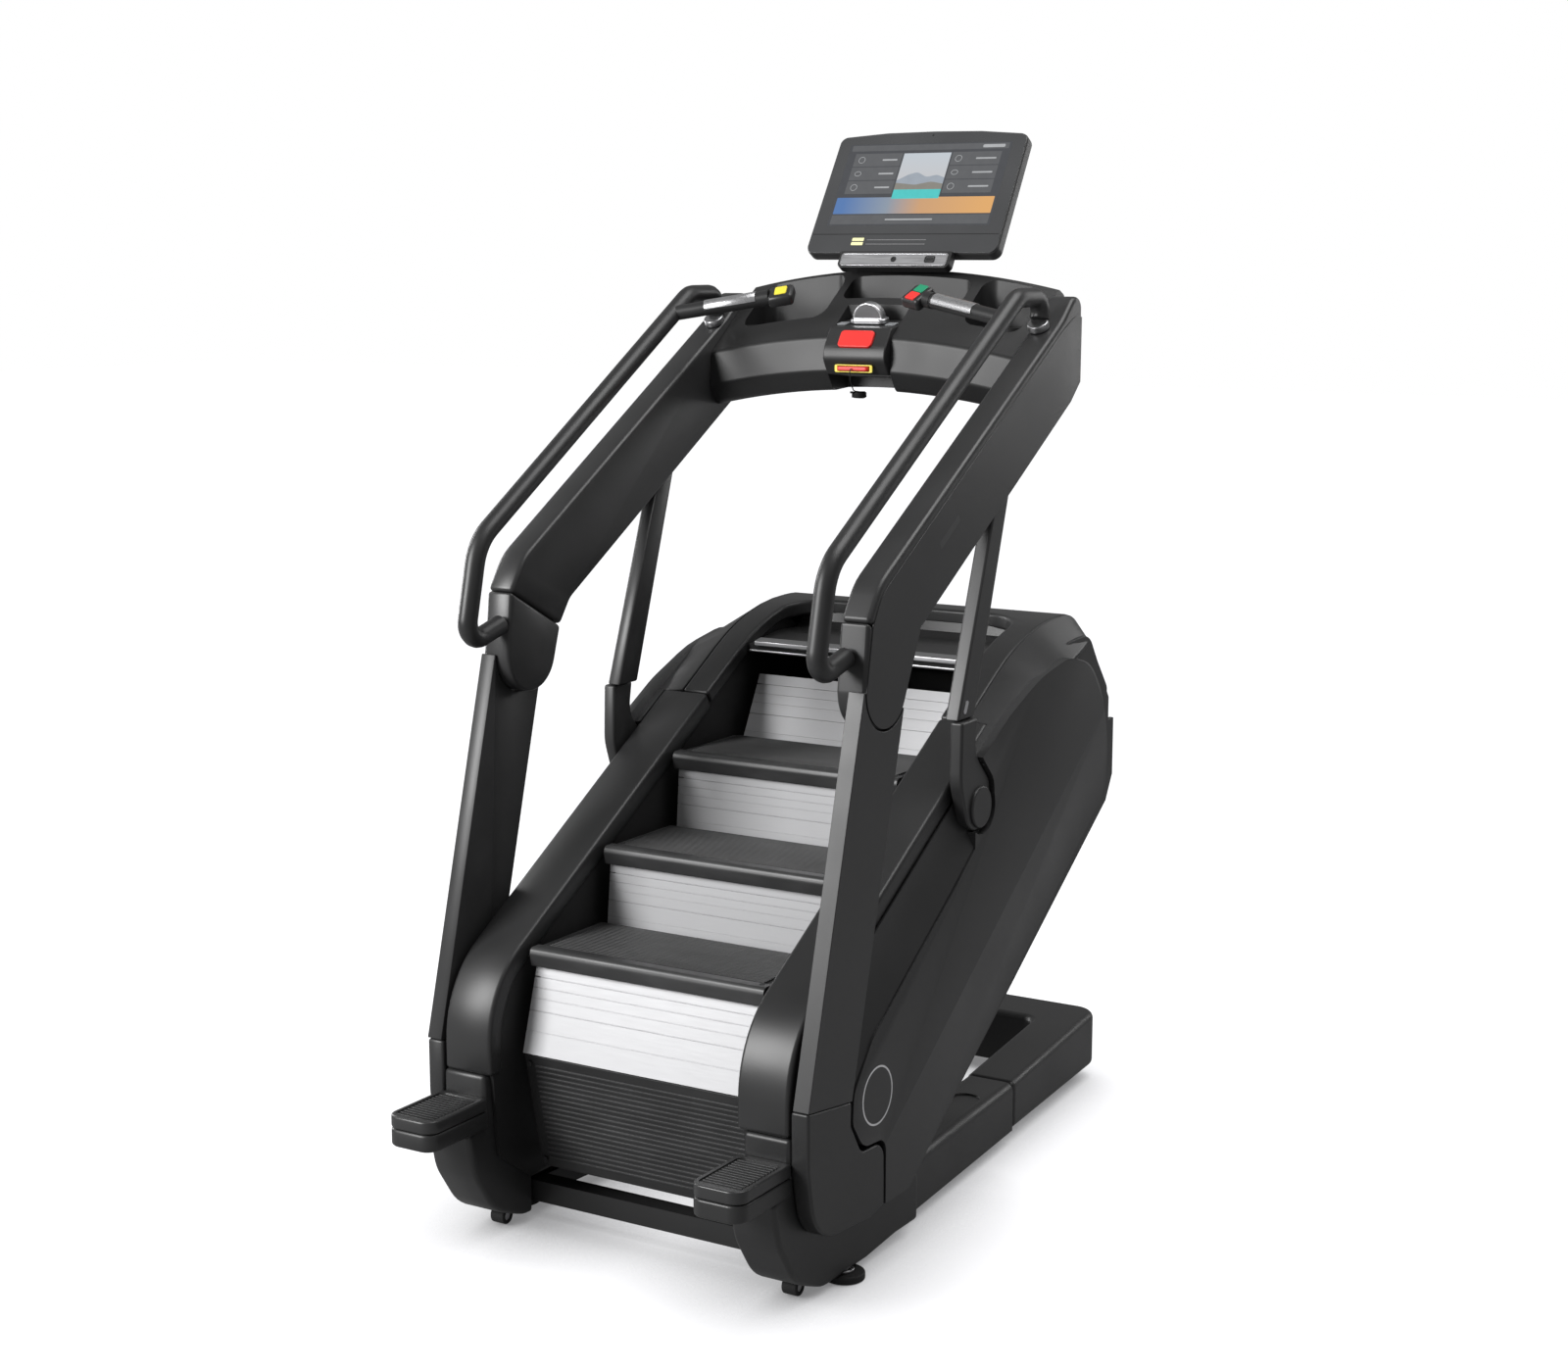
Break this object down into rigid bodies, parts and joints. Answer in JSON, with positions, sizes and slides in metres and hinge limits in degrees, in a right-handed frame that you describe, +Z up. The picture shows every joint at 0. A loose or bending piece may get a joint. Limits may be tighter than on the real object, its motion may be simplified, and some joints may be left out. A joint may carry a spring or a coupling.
{
  "type": "stair climber",
  "caption": "Gym stair climber with a sloping run of steps, arched side covers, handrails, console and tilted display.",
  "frame": {"origin": "middle of the footprint on the floor", "axes": "+Z up, +Y the way the user faces when climbing, +X to the user's right"},
  "size_m": [0.904, 1.83, 2.2633],
  "materials": {
    "charcoal": "fine textured",
    "graphite": "fine textured, lighter grey",
    "black": "matte",
    "steel_paint": "powder coated",
    "silver": "brushed, horizontal grooves",
    "bare_steel": "machined",
    "rubber": "ribbed",
    "red": "soft gloss",
    "green": "soft gloss",
    "yellow": "soft gloss",
    "screen": "dark glossy display face"
  },
  "bodies": {
    "machine_body": {"arm_left": "graphite", "arm_right": "graphite", "base_cover_left": "charcoal", "base_cover_right": "charcoal", "base_frame": "steel_paint", "base_rear_cover": "charcoal", "belly_cover": "charcoal", "brake_unit": "steel_paint", "console": "charcoal", "control_pod": "charcoal", "display": "screen", "display_mount": "charcoal", "drive_belt": "rubber", "entry_pad_left": "rubber", "entry_pad_right": "rubber", "handrail_left": "rubber", "handrail_right": "rubber", "levelling_foot_left": "rubber", "levelling_foot_right": "rubber", "lower_shell_left": "charcoal", "lower_shell_right": "charcoal", "remote_left": "charcoal", "remote_right": "charcoal", "shroud_left": "charcoal", "shroud_right": "charcoal", "side_panel_left": "graphite", "side_panel_right": "graphite", "step_chain_left": "bare_steel", "step_chain_right": "bare_steel", "step_frame": "black", "strut_boot_left": "charcoal", "strut_boot_right": "charcoal", "strut_left": "steel_paint", "strut_right": "steel_paint", "top_cover": "charcoal", "upright_boot_left": "charcoal", "upright_boot_right": "charcoal", "upright_left": "graphite", "upright_right": "graphite"},
    "step_1": {"tread_1": "rubber", "riser_1": "silver"},
    "step_2": {"tread_2": "rubber", "riser_2": "silver"},
    "step_3": {"tread_3": "rubber", "riser_3": "silver"},
    "step_4": {"riser_4": "silver"},
    "kick_step": {"kick_tread": "rubber"},
    "upper_drive": {"upper_shaft": "bare_steel"},
    "lower_drive": {"lower_shaft": "bare_steel"},
    "brake_rotor": {"brake_pulley": "bare_steel"},
    "wheel_left": {"transport_wheel_left": "rubber"},
    "wheel_right": {"transport_wheel_right": "rubber"},
    "knob": {"speed_knob": "silver"},
    "paddle": {"stop_paddle": "red"},
    "key": {"safety_key": "red", "safety_cord": "black", "cord_coil": "black"},
    "mode_key": {"mode_button": "yellow"},
    "go_key": {"go_button": "green"},
    "halt_key": {"halt_button": "red"}
  },
  "joints": [
    {"name": "step_1_travel", "type": "slide", "parent": "machine_body", "child": "step_1", "axis": [0, 0.8581, 0.5135], "range_m": [-0.03, 0.03]},
    {"name": "step_2_travel", "type": "slide", "parent": "machine_body", "child": "step_2", "axis": [0, 0.8581, 0.5135], "range_m": [-0.03, 0.03]},
    {"name": "step_3_travel", "type": "slide", "parent": "machine_body", "child": "step_3", "axis": [0, 0.8581, 0.5135], "range_m": [-0.03, 0.03]},
    {"name": "step_4_travel", "type": "slide", "parent": "machine_body", "child": "step_4", "axis": [0, 0.8581, 0.5135], "range_m": [-0.03, 0.03]},
    {"name": "kick_fold", "type": "hinge", "parent": "step_1", "child": "kick_step", "pos_m": [0, -0.641, 0.383], "axis": [1, 0, 0], "range_deg": [-7.6, 7.6]},
    {"name": "upper_shaft_turn", "type": "hinge", "parent": "machine_body", "child": "upper_drive", "pos_m": [0, 0.435, 0.815], "axis": [1, 0, 0], "range_deg": [-19.6, 19.6]},
    {"name": "lower_shaft_turn", "type": "hinge", "parent": "machine_body", "child": "lower_drive", "pos_m": [0, -0.425, 0.3], "axis": [1, 0, 0], "range_deg": [-19.6, 19.6]},
    {"name": "brake_turn", "type": "hinge", "parent": "machine_body", "child": "brake_rotor", "pos_m": [0.129, 0.245, 0.6], "axis": [1, 0, 0], "range_deg": [-46.8, 46.8]},
    {"name": "wheel_left_roll", "type": "hinge", "parent": "machine_body", "child": "wheel_left", "pos_m": [-0.354, -0.627, 0.02], "axis": [1, 0, 0], "continuous": true},
    {"name": "wheel_right_roll", "type": "hinge", "parent": "machine_body", "child": "wheel_right", "pos_m": [0.354, -0.627, 0.02], "axis": [1, 0, 0], "continuous": true},
    {"name": "knob_twist", "type": "hinge", "parent": "machine_body", "child": "knob", "pos_m": [0, 0.289, 1.8406], "axis": [0, -0.1871, 0.9823], "range_deg": [-30, 30], "stiffness_Nm_per_rad": 0.06},
    {"name": "paddle_press", "type": "slide", "parent": "machine_body", "child": "paddle", "axis": [0, 0.8348, -0.5506], "range_m": [0, 0.0035], "stiffness_N_per_m": 500, "springref_m": -0.001},
    {"name": "key_pull", "type": "slide", "parent": "machine_body", "child": "key", "axis": [0, -1, 0], "range_m": [0, 0.022]},
    {"name": "mode_press", "type": "slide", "parent": "machine_body", "child": "mode_key", "axis": [-0.0261, 0.5444, -0.8384], "range_m": [0, 0.0018], "stiffness_N_per_m": 300, "springref_m": -0.001},
    {"name": "go_press", "type": "slide", "parent": "machine_body", "child": "go_key", "axis": [0.0261, 0.5444, -0.8384], "range_m": [0, 0.0018], "stiffness_N_per_m": 300, "springref_m": -0.001},
    {"name": "halt_press", "type": "slide", "parent": "machine_body", "child": "halt_key", "axis": [0.0261, 0.5444, -0.8384], "range_m": [0, 0.0018], "stiffness_N_per_m": 300, "springref_m": -0.001}
  ],
  "couplings": [
    {"joint": "step_2_travel", "follows": "step_1_travel", "ratio": 1},
    {"joint": "step_3_travel", "follows": "step_1_travel", "ratio": 1},
    {"joint": "step_4_travel", "follows": "step_1_travel", "ratio": 1},
    {"joint": "kick_fold", "follows": "step_1_travel", "rad_per_m": -4.3},
    {"joint": "upper_shaft_turn", "follows": "step_1_travel", "rad_per_m": -11.086},
    {"joint": "lower_shaft_turn", "follows": "step_1_travel", "rad_per_m": -11.086},
    {"joint": "brake_turn", "follows": "step_1_travel", "rad_per_m": -26.874}
  ]
}
